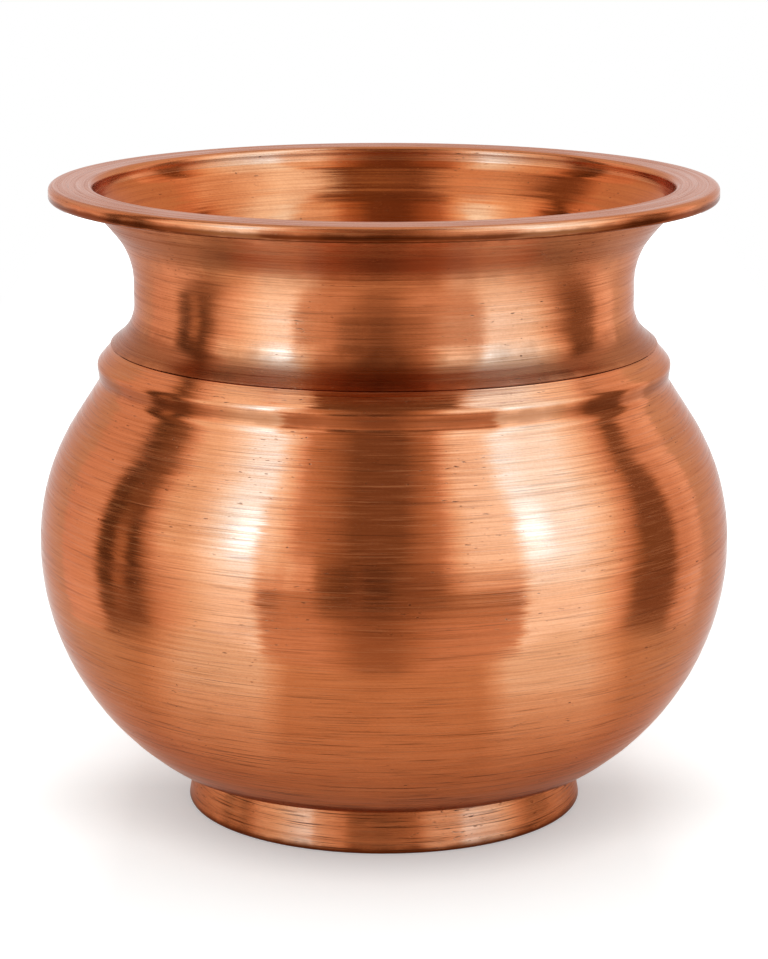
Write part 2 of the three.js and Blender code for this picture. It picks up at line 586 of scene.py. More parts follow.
def pits_group() -> Tree:
    """Builds the group of small dark pits, a little longer round the pot than across it.

    Returns:
        The group, with a mask that is 1 in a pit.
    """
    stretch, rim = (0.55, 0.55, 1.0), 0.6
    inputs = {"Scale": 420.0, "Size": 0.16, "Amount": 0.4}
    tree, board, given, result = new_group("small_pits", inputs, ("Mask",))
    stretched = board.wired("Mapping", (board.place(),), vector_type="POINT")
    stretched.inputs["Scale"].default_value = stretch
    cells = board.add("TexVoronoi", voronoi_dimensions="3D", feature="F1")
    board.feed(cells.inputs["Vector"], stretched.outputs[0])
    board.feed(cells.inputs["Scale"], given["Scale"])
    picked = board.wired("SeparateColor", (cells.outputs["Color"],)).outputs
    chosen = board.math("LESS_THAN", picked[0], given["Amount"])
    share = board.math("DIVIDE", cells.outputs["Distance"], board.times(given["Size"], picked[1]))
    board.feed(result["Mask"], board.times(board.ranged(share, rim, 1.0, 1.0, 0.0), chosen))
    return tree


def clouds_group() -> Tree:
    """Builds the group of broad soft patches, for tarnish and for uneven polish.

    Returns:
        The group, with a mask that is 1 in a patch.
    """
    inputs = {"Scale": 30.0, "Detail": 3.0, "Low": 0.4, "High": 0.62}
    tree, board, given, result = new_group("soft_patches", inputs, ("Mask",))
    noise = board.noise(board.place(), given["Scale"], given["Detail"])
    mask = board.ranged(noise, given["Low"], given["High"], kind="SMOOTHSTEP")
    board.feed(result["Mask"], mask)
    return tree


def recess_shade_group() -> Tree:
    """Builds the group of painted shade in a recess: a dark band round the pot at one height, with a ragged
    edge.

    Returns:
        The group, with a mask that is 1 in the band.
    """
    scale, detail, full_share = 260.0, 3.0, 0.8
    soft_span, reach_span = (0.3, 0.7), (0.7, 1.3)
    inputs = {"Height": 0.01, "Reach": 0.001, "Beyond": 0.0}
    tree, board, given, result = new_group("recess_painted_shade", inputs, ("Mask",))
    place = board.place()
    x, y, z = board.parts(place)
    outside = board.math("GREATER_THAN", board.reach(x, y), given["Beyond"])
    away = board.math("ABSOLUTE", board.minus(z, given["Height"]))
    uneven = board.ranged(board.noise(place, scale, detail), *soft_span, *reach_span)
    share = board.minus(1.0, board.math("DIVIDE", away, board.times(given["Reach"], uneven)))
    band = board.ranged(share, 0.0, full_share, kind="SMOOTHSTEP")
    board.feed(result["Mask"], board.times(outside, band))
    return tree


@dataclass(frozen=True)
class Effects:
    """The shared node groups."""

    lines: Tree
    leaning: Tree
    dashes: Tree
    pits: Tree
    clouds: Tree
    recess_shade: Tree


def shared_effects() -> Effects:
    """Builds the node groups that the finishes share."""
    lines = lines_group()
    return Effects(lines, leaning_group(), dashes_group(lines), pits_group(), clouds_group(), recess_shade_group())


# ---- Finishes ----


def new_material(name: str) -> tuple[Material, Board, Sequence[Socket]]:
    """Makes a material.

    Args:
        name: the material's name.

    Returns:
        The material, its board and the inputs of its Principled shader.
    """
    material = bpy.data.materials.new(name)
    material.use_nodes = True
    return material, Board(material.node_tree), material.node_tree.nodes["Principled BSDF"].inputs


@dataclass(frozen=True)
class ShadedRecess:
    """A level round which shade is painted, in millimetres.

    It says how far the painted shade reaches up and down, how dense it is, and beyond which radius it lies.
    """

    height: float
    reach: float
    density: float
    beyond: float = 0.0

    def mask(self, board: Board, effects: Effects) -> Socket:
        """Returns how much painted shade there is."""
        sizes = {"Height": self.height * MM, "Reach": self.reach * MM, "Beyond": self.beyond * MM}
        return board.times(board.group(effects.recess_shade, **sizes)[0], self.density)


@dataclass(frozen=True)
class Lines:
    """Lines round the pot: how many to the metre across and along them, how ragged, and their seed."""

    across: float
    along: float
    grain: float
    seed: float

    def values(self, board: Board, effects: Effects) -> Sequence[Socket]:
        """Returns the three unlike values of each line."""
        sizes = {"Across": self.across, "Along": self.along, "Grain": self.grain, "Shift": self.seed}
        return board.group(effects.lines, Detail=2.0, **sizes)


@dataclass(frozen=True)
class TurnedCopper:
    """Copper that was turned and brushed round its axis.

    The colours are linear, and tilts and sways are in radians. A span is the two values of a noise, or the
    two heights in metres, between which an effect sets in.
    """

    name: str
    colour: Colour = (0.60, 0.212, 0.082, 1.0)
    deep_colour: Colour = (0.44, 0.130, 0.040, 1.0)
    stain_colour: Colour = (0.11, 0.032, 0.012, 1.0)
    recess_shade_colour: Colour = (0.15, 0.030, 0.005, 1.0)
    edge_tint: Colour = (0.82, 0.66, 0.62, 1.0)
    polish: float = 0.10
    matt: float = 0.24
    gloss_span: Span = (0.1, 0.9)
    brushing: float = 0.8
    brushing_turn: float = 0.25
    fine: Lines = Lines(4200.0, 34.0, 0.6, 0.0)
    broad: Lines = Lines(1100.0, 13.0, 0.5, 37.0)
    crisp: Lines = Lines(4300.0, 80.0, 0.6, 71.0)
    fine_share: float = 0.68
    broad_share: float = 0.32
    tilt: float = 0.10
    deep_tilt: float = 1.3
    sway: float = 0.065
    streaks: float = 0.55
    streak_span: Span = (0.34, 0.58)
    scratches: float = 0.32
    scratch_depth: float = 0.8
    pits: float = 0.3
    pit_depth: float = 0.9
    mark_relief: float = -0.012
    mark_roughness: float = 0.2
    grain: float = 0.12
    tarnish: float = 0.3
    tarnish_roughness: float = 0.05
    haze: float = 0.28
    haze_span: Span = (0.52, 0.68)
    scoring: float = 0.36
    foot_scoring: float = 0.45
    scoring_span: Span = (0.56, 0.68)
    foot_span: Span = (0.012, 0.040)
    shaded_recesses: tuple[ShadedRecess, ...] = ()

    def material(self, effects: Effects) -> Material:
        """Builds the material.

        Args:
            effects: the shared node groups.

        Returns:
            The material, with one Principled shader.
        """
        material, board, shader = new_material(self.name)
        fine, broad, crisp = (lines.values(board, effects) for lines in (self.fine, self.broad, self.crisp))
        scratch = board.group(effects.dashes, Across=3600.0, Along=700.0, Amount=self.scratches, Shift=5.0)[0]
        pit = board.group(effects.pits, Scale=560.0, Size=0.09, Amount=self.pits)[0]
        speck = board.group(effects.clouds, Scale=2300.0, Detail=1.0, Low=0.35, High=0.65)[0]
        patch = board.group(effects.clouds, Scale=34.0, Detail=3.0, Low=0.42, High=0.66)[0]
        worth, lean, jitter = (
            board.plus(board.times(f, self.fine_share), board.times(b, self.broad_share))
            for f, b in zip(fine, broad)
        )
        streak = board.ranged(worth, *self.streak_span)
        scratch, pit = board.times(scratch, self.scratch_depth), board.times(pit, self.pit_depth)
        marks = board.math("MAXIMUM", scratch, pit)

        between = board.times(board.minus(1.0, streak), self.streaks)
        deepened = board.blended(speck, self.grain, board.blended(patch, self.tarnish, between))
        tone = board.mixed(board.math("MINIMUM", deepened, 1.0), self.colour, self.deep_colour)
        # Painted shade: in each recess and crevice the tone darkens towards the shade colour.
        for shaded_recess in self.shaded_recesses:
            tone = board.mixed(shaded_recess.mask(board, effects), tone, self.recess_shade_colour)
        height = board.parts(board.place())[2]
        depth = board.ranged(height, *self.foot_span, self.foot_scoring, self.scoring)
        scored = board.times(board.ranged(crisp[1], *self.scoring_span), depth)
        tone = board.mixed(scored, tone, self.stain_colour)
        board.feed(shader["Base Color"], board.mixed(marks, tone, self.stain_colour))
        dulled = board.ranged(crisp[0], *self.haze_span)
        board.feed(shader["Metallic"], board.blended(dulled, -self.haze, 1.0))

        gloss = board.ranged(streak, *self.gloss_span, self.matt, self.polish)
        worn = board.blended(patch, self.tarnish_roughness, gloss)
        board.feed(shader["Roughness"], board.blended(marks, self.mark_roughness, worn))

        lean = board.minus(lean, 0.5)
        steep = board.blended(board.math("ABSOLUTE", lean), self.deep_tilt, self.tilt)
        jitter = board.plus(board.times(jitter, 0.5), board.times(crisp[2], 0.5))
        sway = board.blended(jitter, 2 * self.sway, -self.sway)
        leaning = board.group(effects.leaning, Tilt=board.times(lean, steep), Sway=sway)[0]
        board.feed(shader["Normal"], board.raised(board.times(marks, self.mark_relief), leaning))

        shader["Specular Tint"].default_value = self.edge_tint
        shader["Anisotropic"].default_value = self.brushing
        shader["Anisotropic Rotation"].default_value = self.brushing_turn
        return material


@dataclass(frozen=True)
class BrazingMetal:
    """Dull yellow brazing metal with the wrinkled skin of a poured fillet."""

    name: str = "brazing_metal"
    colour: Colour = (0.42, 0.22, 0.075, 1.0)
    burnt_colour: Colour = (0.09, 0.045, 0.02, 1.0)
    smooth: float = 0.35
    rough: float = 0.6
    wrinkle: float = 0.08

    def material(self, effects: Effects) -> Material:
        """Builds the material.

        Args:
            effects: the shared node groups.

        Returns:
            The material, with one Principled shader.
        """
        material, board, shader = new_material(self.name)
        skin = board.group(effects.clouds, Scale=700.0, Detail=4.0, Low=0.3, High=0.7)[0]
        burnt = board.group(effects.clouds, Scale=130.0, Detail=2.0, Low=0.5, High=0.68)[0]
        board.feed(shader["Base Color"], board.mixed(burnt, self.colour, self.burnt_colour))
        board.feed(shader["Roughness"], board.ranged(skin, 0.0, 1.0, self.smooth, self.rough))
        board.feed(shader["Normal"], board.raised(board.times(skin, self.wrinkle)))
        shader["Metallic"].default_value = 1.0
        return material


# Painted shade at creases and undersides: under the belly, in its groove, in the skirt's hollow and on the
# flare, under the rim's edge, and at both ends of the foot.
BELLY_SHADED_RECESSES = (ShadedRecess(9.4, 2.4, 0.6), ShadedRecess(80.0, 1.6, 0.5))
NECK_SHADED_RECESSES = (ShadedRecess(87.0, 4.2, 0.56), ShadedRecess(106.5, 5.5, 0.4), ShadedRecess(110.9, 1.4, 0.9))
RIM_SHADED_RECESSES = (ShadedRecess(111.6, 0.85, 0.93, 57.0), ShadedRecess(110.9, 0.5, 0.9, 57.0))
FOOT_SHADED_RECESSES = (ShadedRecess(9.2, 1.4, 0.85), ShadedRecess(0.0, 1.7, 0.97))


@dataclass(frozen=True)
class Finishes:
    """The pot's finishes, as materials."""

    belly: Material
    neck: Material
    inside: Material
    rim: Material
    foot: Material
    braze: Material


def finished(effects: Effects) -> Finishes:
    """Builds every finish of the pot.

    Args:
        effects: the shared node groups.

    Returns:
        The materials.
    """
    belly = TurnedCopper("spun_copper_belly", foot_scoring=1.0, shaded_recesses=BELLY_SHADED_RECESSES)
    neck = TurnedCopper(
        "spun_copper_neck", colour=(0.66, 0.245, 0.098, 1.0), polish=0.18, matt=0.29, brushing=1.0, tilt=0.14,
        tarnish=0.35, haze=0.06, shaded_recesses=NECK_SHADED_RECESSES,
    )
    inside = TurnedCopper(
        "spun_copper_inside", colour=(0.54, 0.145, 0.040, 1.0), deep_colour=(0.34, 0.070, 0.016, 1.0),
        polish=0.12, matt=0.26, tilt=0.04, deep_tilt=0.6, streaks=0.4, tarnish=0.5, pits=0.4, haze=0.05,
        scoring=0.15,
    )
    rim = TurnedCopper(
        "turned_copper_rim", polish=0.16, matt=0.32, scratches=0.3, tarnish=0.2, shaded_recesses=RIM_SHADED_RECESSES
    )
    foot = TurnedCopper(
        "turned_copper_foot", polish=0.18, matt=0.28, brushing=1.0, streaks=0.5, foot_scoring=1.0,
        scratches=0.55, pits=0.5, tarnish=0.2, shaded_recesses=FOOT_SHADED_RECESSES,
    )
    finishes = (belly, neck, inside, rim, foot, BrazingMetal())
    return Finishes(*(finish.material(effects) for finish in finishes))


def dressed(
    piece: bpy.types.Object, node: str, outer: Material, inner: Material | None = None
) -> None:
    """Gives a piece its materials and ties it to the frame.

    Args:
        piece: the finished piece.
        node: the CAD node that it stands for.
        outer: the material of faces that look away from the axis.
        inner: the material of faces that look towards the axis, if it differs.
    """
    facing_in, facing_up, level_in = -0.02, 0.9, 0.3
    piece.data.materials.append(outer)
    if inner is not None:
        piece.data.materials.append(inner)
        for face in piece.data.polygons:
            towards = face.center.x * face.normal.x + face.center.y * face.normal.y
            level = abs(face.normal.z) * math.hypot(face.center.x, face.center.y)
            looks_up = face.normal.z > facing_up and towards < level_in * level
            looks_in = towards < facing_in * level or looks_up
            face.material_index = Side.INNER.value if looks_in else Side.OUTER.value
    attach(piece, "root")
    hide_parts(node)
    LOG.info("%s: %d faces, stands for %s", piece.name, len(piece.data.polygons), node)


# ---- The pot's sub-assemblies, in millimetres and degrees ----


@dataclass(frozen=True)
class Skirt:
    """The lower end of the neck, which laps the belly's collar."""

    neck_radius: float = 44.65
    angle: float = 50.0
    length: float = 1.85
    hollow: float = 7.5
    sheet: float = 0.9
    gap: float = 0.3
    step: float = 0.3

    def edge_radius(self) -> float:
        """Returns the radius of the skirt's cut edge."""
        rounded_out = self.hollow * (1 - outward(self.angle).x)
        return self.neck_radius + rounded_out - self.length * upward(self.angle).x

    def edge_to_seat(self) -> Point:
        """Returns the way from the skirt's cut edge to the corner of the belly's seat."""
        return upward(self.angle) * -self.gap + outward(self.angle) * -self.step


@dataclass(frozen=True)
class Foot:
    """The foot ring, with the brazing metal inside it."""

    height: float = 9.2
    top_radius: float = 34.5
    taper: float = -1.4
    wall: float = 2.2
    edge_round: float = 0.6
    braze_leg: float = 1.3
    braze_hollow: tuple[Span, ...] = ((0.55, 0.62), (0.3, 0.95))
    gap: float = 0.3
    steps: int = 240
    marks: ToolMarks = ToolMarks(((2.3, 0.012), (0.9, 0.006)), 1.0)
    wall_step: float = 0.3
    inside_step: float = 1.0
    round_turn: float = 10

    def build(self, finishes: Finishes) -> None:
        """Builds and dresses the foot.

        Args:
            finishes: the pot's materials.
        """
        bottom = self.top_radius - self.taper
        inner = bottom - self.wall
        centre = at(bottom - self.edge_round, self.edge_round)
        wall = filled_in([centre + at(self.edge_round, 0), at(self.top_radius, self.height)], self.wall_step)
        outline = [
            at(inner, 0),
            *arc(centre, self.edge_round, -90, 0, self.round_turn),
            *self.marks.worked(wall, 1.0)[1:],
            at(inner, self.height),
            *filled_in([at(inner, self.height), at(inner, 0)], self.inside_step)[1:-1],
        ]
        ring = spun("foot_band", tidied(outline), self.steps)
        dressed(ring, "foot_ring", finishes.foot)
        reach = inner - self.gap
        corner = at(reach, self.height)
        fillet = [at(reach, self.height - self.braze_leg), corner, at(reach - self.braze_leg, self.height)]
        hollow = [at(reach - inwards, self.height - down) for inwards, down in self.braze_hollow]
        bead = spun("foot_brazing", fillet + hollow, self.steps)
        dressed(bead, "foot_braze", finishes.braze)


@dataclass(frozen=True)
class Belly:
    """The belly: a flat base, a swelling side, a bead with its groove, and a collar under the skirt."""

    skirt: Skirt = Skirt()
    sheet: float = 0.9
    base_height: float = 9.2
    base_radius: float = 40.1
    corner_round: float = 2.0
    corner_angle: float = 56.5
    radius: float = 62.2
    rise: float = 39.4
    slope_angle: float = 33.0
    slope_length: float = 7.4
    shoulder_rise: float = 28.8
    groove: float = 2.5
    undercut: float = 8.0
    bead_wall: float = 1.8
    bead: float = 1.5
    bead_slope: float = 41.0
    bead_length: float = 3.4
    lap_turn: float = 22.0
    steps: int = 240
    marks: ToolMarks = ToolMarks(((7.1, 0.010), (3.3, 0.006), (1.7, 0.003)), 3.0)
    base_step: float = 2.5
    side_step: float = 0.6
    round_turn: float = 6
    collar_turn: float = 4
    collar_points: int = 30

    def bead_from(self, top: Point) -> Path:
        """Lays out the groove, the bead and the seat.

        Args:
            top: the top of the belly's slope.

        Returns:
            The points from there up to the seat's corner.
        """
        hollow = top + outward(self.slope_angle) * self.groove
        groove = arc(hollow, -self.groove, self.slope_angle, -self.undercut, self.round_turn)
        wall_top = groove[-1] + upward(-self.undercut) * self.bead_wall
        centre = wall_top - outward(-self.undercut) * self.bead
        bead = arc(centre, self.bead, -self.undercut, self.bead_slope, self.round_turn)
        seat = bead[-1] + upward(self.bead_slope) * self.bead_length
        return [*groove, *bead, seat]

    def seat_radius(self) -> float:
        """Returns the radius of the seat's corner, which follows from the skirt's edge."""
        return self.skirt.edge_radius() + self.skirt.edge_to_seat().x

    def slope_top(self) -> Point:
        """Returns the top of the belly's slope."""
        height = self.base_height + self.rise + self.shoulder_rise
        return at(self.seat_radius() - self.bead_from(at(0, height))[-1].x, height)

    def seat(self) -> Point:
        """Returns the seat's corner."""
        return self.bead_from(self.slope_top())[-1]

    def skirt_edge(self) -> Point:
        """Returns the place of the skirt's cut edge."""
        return self.seat() - self.skirt.edge_to_seat()

    def skirt_centre(self) -> Point:
        """Returns the centre of the skirt's hollow round."""
        top = self.skirt_edge() + upward(self.skirt.angle) * self.skirt.length
        return top + outward(self.skirt.angle) * self.skirt.hollow

    def side(self) -> Path:
        """Lays out the belly's side.

        Returns:
            The points from the base's round up to the top of the slope.
        """
        corner = at(self.base_radius, self.base_height) + at(0, self.corner_round)
        start = corner + outward(-self.corner_angle) * self.corner_round
        widest = at(self.radius, self.base_height + self.rise)
        top = self.slope_top()
        slope_foot = top - upward(self.slope_angle) * self.slope_length
        return tidied(
            [
                *swell(start, -self.corner_angle, widest, 0, self.side_step),
                *swell(widest, 0, slope_foot, self.slope_angle, self.side_step),
                *filled_in([slope_foot, top], self.side_step),
            ]
        )

    def outer_path(self) -> Path:
        """Lays out the belly's outer face.

        Returns:
            The points from the axis up to the collar's edge.
        """
        base = at(self.base_radius, self.base_height)
        corner = base + at(0, self.corner_round)
        bead = self.bead_from(self.slope_top())
        angle = self.skirt.angle
        set_in = self.skirt.sheet + self.skirt.gap - self.skirt.step
        reach = self.skirt.hollow + self.skirt.sheet + self.skirt.gap
        return tidied(
            [
                *filled_in([at(0, self.base_height), base], self.base_step),
                *arc(corner, self.corner_round, -90, -self.corner_angle, self.round_turn),
                *self.marks.worked(self.side(), 1.0),
                *bead[:-1],
                *filled_in(bead[-2:], self.side_step),
                self.seat() - outward(angle) * set_in,
                *arc(self.skirt_centre(), -reach, angle, angle - self.lap_turn, self.collar_turn),
            ]
        )

    def build(self, finishes: Finishes) -> None:
        """Builds and dresses the belly.

        The inner face has half the points of the outer one, except at the collar.

        Args:
            finishes: the pot's materials.
        """
        outer = self.outer_path()
        inner = beside(outer, self.sheet)
        inner[0] = at(0, inner[0].y)
        thinned = [p for i, p in enumerate(inner) if i % 2 == 0 or i > len(inner) - self.collar_points]
        shell = spun("belly_skin", tidied(outer + thinned[::-1]), self.steps, closed=False)
        dressed(shell, "belly_shell", finishes.belly, finishes.inside)


@dataclass(frozen=True)
class Neck:
    """The neck: a skirt over the belly's collar, a straight waist and a flare, with its brazing metal."""

    belly: Belly
    waist: float = 3.9
    flare_round: float = 14.0
    flare_angle: float = 40.6
    flare_length: float = 7.75
    braze_angle: float = 12.0
    braze_hollow: Span = (0.45, 0.36)
    steps: int = 240
    outer_marks: ToolMarks = ToolMarks(((3.1, 0.010), (1.3, 0.005)), 2.0)
    inner_marks: ToolMarks = ToolMarks(((1.45, 0.006), (2.6, 0.009), (0.8, 0.002)), 1.5)
    mouth_fairing: float = 5.0
    lap_seam: float = 0.05
    point_step: float = 0.25
    round_turn: float = 3

    def outer_path(self) -> Path:
        """Lays out the neck's outer face.

        Returns:
            The points from the skirt's edge up to the top of the flare.
        """
        skirt = self.belly.skirt
        centre = self.belly.skirt_centre()
        flare_centre = at(skirt.neck_radius, centre.y) + at(0, self.waist) + at(self.flare_round, 0)
        start = flare_centre - outward(-self.flare_angle) * self.flare_round
        path = [
            self.belly.skirt_edge(),
            *arc(centre, -skirt.hollow, skirt.angle, 0, self.round_turn),
            *arc(flare_centre, -self.flare_round, 0, -self.flare_angle, self.round_turn),
            start + upward(-self.flare_angle) * self.flare_length,
        ]
        return filled_in(tidied(path), self.point_step)

    def top(self) -> Point:
        """Returns the outer corner of the neck's top."""
        return self.outer_path()[-1]

    def level_sheet(self) -> float:
        """Returns how wide the flare's sheet is where it is cut level."""
        return self.belly.skirt.sheet / outward(self.flare_angle).x

    def fairing(self) -> Path:
        """Lays out the hollow round that leads the flare's inner face into the mouth's upright face.

        Returns:
            The round's points, from the lowest up.
        """
        edge = self.top() - at(self.level_sheet(), 0)
        climb = upward(-self.flare_angle)
        corner = edge - climb * (MOUTH_LIP / climb.x)
        reach = self.mouth_fairing * math.tan(math.radians(self.flare_angle / 2))
        centre = at(edge.x - MOUTH_LIP - self.mouth_fairing, corner.y + reach)
        return arc(centre, self.mouth_fairing, -self.flare_angle, 0, self.round_turn)

    def mouth(self) -> Point:
        """Finds where the fairing passes the height of the neck's top.

        Returns:
            That point.
        """
        height = self.top().y
        path = self.fairing()
        for before, after in zip(path, path[1:]):
            if after.y >= height:
                return before.lerp(after, (height - before.y) / (after.y - before.y))
        return path[-1]

    def build(self, finishes: Finishes) -> None:
        """Builds and dresses the neck.

        Args:
            finishes: the pot's materials.
        """
        skirt = self.belly.skirt
        outer = self.outer_path()
        fairing = self.fairing()
        inner = [p for p in beside(outer, skirt.sheet) if p.y < fairing[0].y]
        below_top = (p for p in fairing if p.y < self.top().y)
        inner = filled_in([*inner, *below_top, self.mouth()], self.point_step)
        outer = [outer[0] - upward(skirt.angle) * (skirt.gap - self.lap_seam), *outer]
        worked = self.outer_marks.worked(outer, 1.0)
        rippled = self.inner_marks.worked(inner, -1.0)
        shell = spun("neck_skin", tidied(worked + rippled[::-1]), self.steps)
        dressed(shell, "neck_shell", finishes.neck, finishes.inside)
        centre = self.belly.skirt_centre()
        near = skirt.hollow + skirt.sheet + skirt.gap
        start = skirt.angle - self.belly.lap_turn - math.degrees(skirt.gap / near)
        against = arc(centre, -near, start, start - self.braze_angle, self.round_turn)
        heel = centre - outward(start) * (near + self.belly.sheet)
        turned, deep = self.braze_hollow
        hollow = centre - outward(start - self.braze_angle * turned) * (near + self.belly.sheet * deep)
        bead = spun("shoulder_brazing", [*against, hollow, heel], self.steps)
        dressed(bead, "shoulder_braze", finishes.braze)


@dataclass(frozen=True)
class Rim:
    """The rim ring on the end of the flare, with the brazing metal under it."""

    neck: Neck
    width: float = 7.9
    thickness: float = 2.55
    inner_round: float = 1.1
    outer_round: float = 0.95
    under_round: float = 0.55
    braze_leg: float = 1.3
    braze_hollow: float = 0.72
    gap: float = 0.3
    steps: int = 300
    marks: ToolMarks = ToolMarks(((1.9, 0.008), (0.8, 0.004)), 0.8)
    under_step: float = 0.5
    flat_step: float = 0.2
    under_turn: float = 10
    outer_turn: float = 5
    inner_turn: float = 7

    def build(self, finishes: Finishes) -> None:
        """Builds and dresses the rim.

        Args:
            finishes: the pot's materials.
        """
        top = self.neck.top()
        inner = top.x - self.neck.level_sheet() - MOUTH_LIP
        outer = inner + self.width
        level = top.y + self.thickness
        under = at(outer - self.under_round, top.y + self.under_round)
        outside = at(outer - self.outer_round, level - self.outer_round)
        inside = at(inner + self.inner_round, level - self.inner_round)
        below = arc(under, self.under_round, -90, 0, self.under_turn)
        flat = [outside + at(0, self.outer_round), inside + at(0, self.inner_round)]
        mouth = self.neck.mouth()
        faired = [p for p in self.neck.fairing() if p.y > mouth.y]
        outline = [
            *filled_in([mouth, at(outer - self.under_round, top.y)], self.under_step),
            *filled_in([*below, outside + at(self.outer_round, 0)], self.flat_step),
            *arc(outside, self.outer_round, 0, 90, self.outer_turn),
            *self.marks.worked(filled_in(flat, self.flat_step), 1.0),
            *arc(inside, self.inner_round, 90, 180, self.inner_turn),
            *faired[::-1],
        ]
        ring = spun("rim_band", tidied(outline), self.steps)
        dressed(ring, "rim_ring", finishes.rim)
        corner = top + at(self.gap / outward(self.neck.flare_angle).x, 0)
        low = corner - upward(-self.neck.flare_angle) * self.braze_leg
        far = corner + at(self.braze_leg, 0)
        hollow = corner.lerp((low + far) / 2, self.braze_hollow)
        bead = spun("rim_brazing", [low, hollow, far, corner], self.steps)
        dressed(bead, "rim_braze", finishes.braze)


# ---- The studio ----


@dataclass(frozen=True)
class Edge:
    """An upright or a level edge of a soft light, in degrees.

    It says where the edge is, how wide it fades, and how far an upright edge leans per degree of height.
    """

    place: float
    fade: float
    lean: float = 0.0

    def reached(self, board: Board, angle: Socket, height: Socket) -> Socket:
        """Lays out what lies beyond the edge.

        Args:
            board: the wall's material.
            angle: the wall's azimuth for an upright edge, its elevation for a level one.
            height: how many degrees a place is above the lights' middle.

        Returns:
            0 on the edge's left or below it, 1 on its right or above it.
        """
        if self.lean:
            angle = board.blended(height, -self.lean, angle)
        return board.ranged(angle, self.place - self.fade / 2, self.place + self.fade / 2)


@dataclass(frozen=True)
class SoftLight:
    """One soft light of the wall, or one dark stand where its strength is below 0."""

    left: Edge
    right: Edge
    strength: float
    low: Edge | None
    high: Edge | None = None

    def glow(self, board: Board, azimuth: Socket, elevation: Socket, height: Socket) -> Socket:
        """Lays out the light's strength over the wall.

        Args:
            board: the wall's material.
            azimuth: the wall's azimuth, in degrees.
            elevation: the wall's elevation, in degrees.
            height: how many degrees a place is above the lights' middle.

        Returns:
            The strength.
        """
        share: Value = 1.0
        for angle, start, end in ((azimuth, self.left, self.right), (elevation, self.low, self.high)):
            if start is not None:
                share = board.times(share, start.reached(board, angle, height))
            if end is not None:
                share = board.times(share, board.minus(1.0, end.reached(board, angle, height)))
        return board.times(share, self.strength)


# Level edges that many lights share: the elevation and the fade, in degrees.
LAMP_FOOT = (3, 16)
HORIZON = (-9, 2)


def soft_lights(*rows: tuple) -> tuple[SoftLight, ...]:
    """Makes soft lights from rows of numbers.

    Args:
        *rows: the left edge, the right edge and the strength, and then the lower and the upper edge. An edge
            that is None isn't there. A row without level edges fades out at LAMP_FOOT.

    Returns:
        One light for each row.
    """
    lights = []
    for left, right, strength, *levels in rows:
        edges = [edge and Edge(*edge) for edge in levels or [LAMP_FOOT]]
        lights.append(SoftLight(Edge(*left), Edge(*right), strength, *edges))
    return tuple(lights)


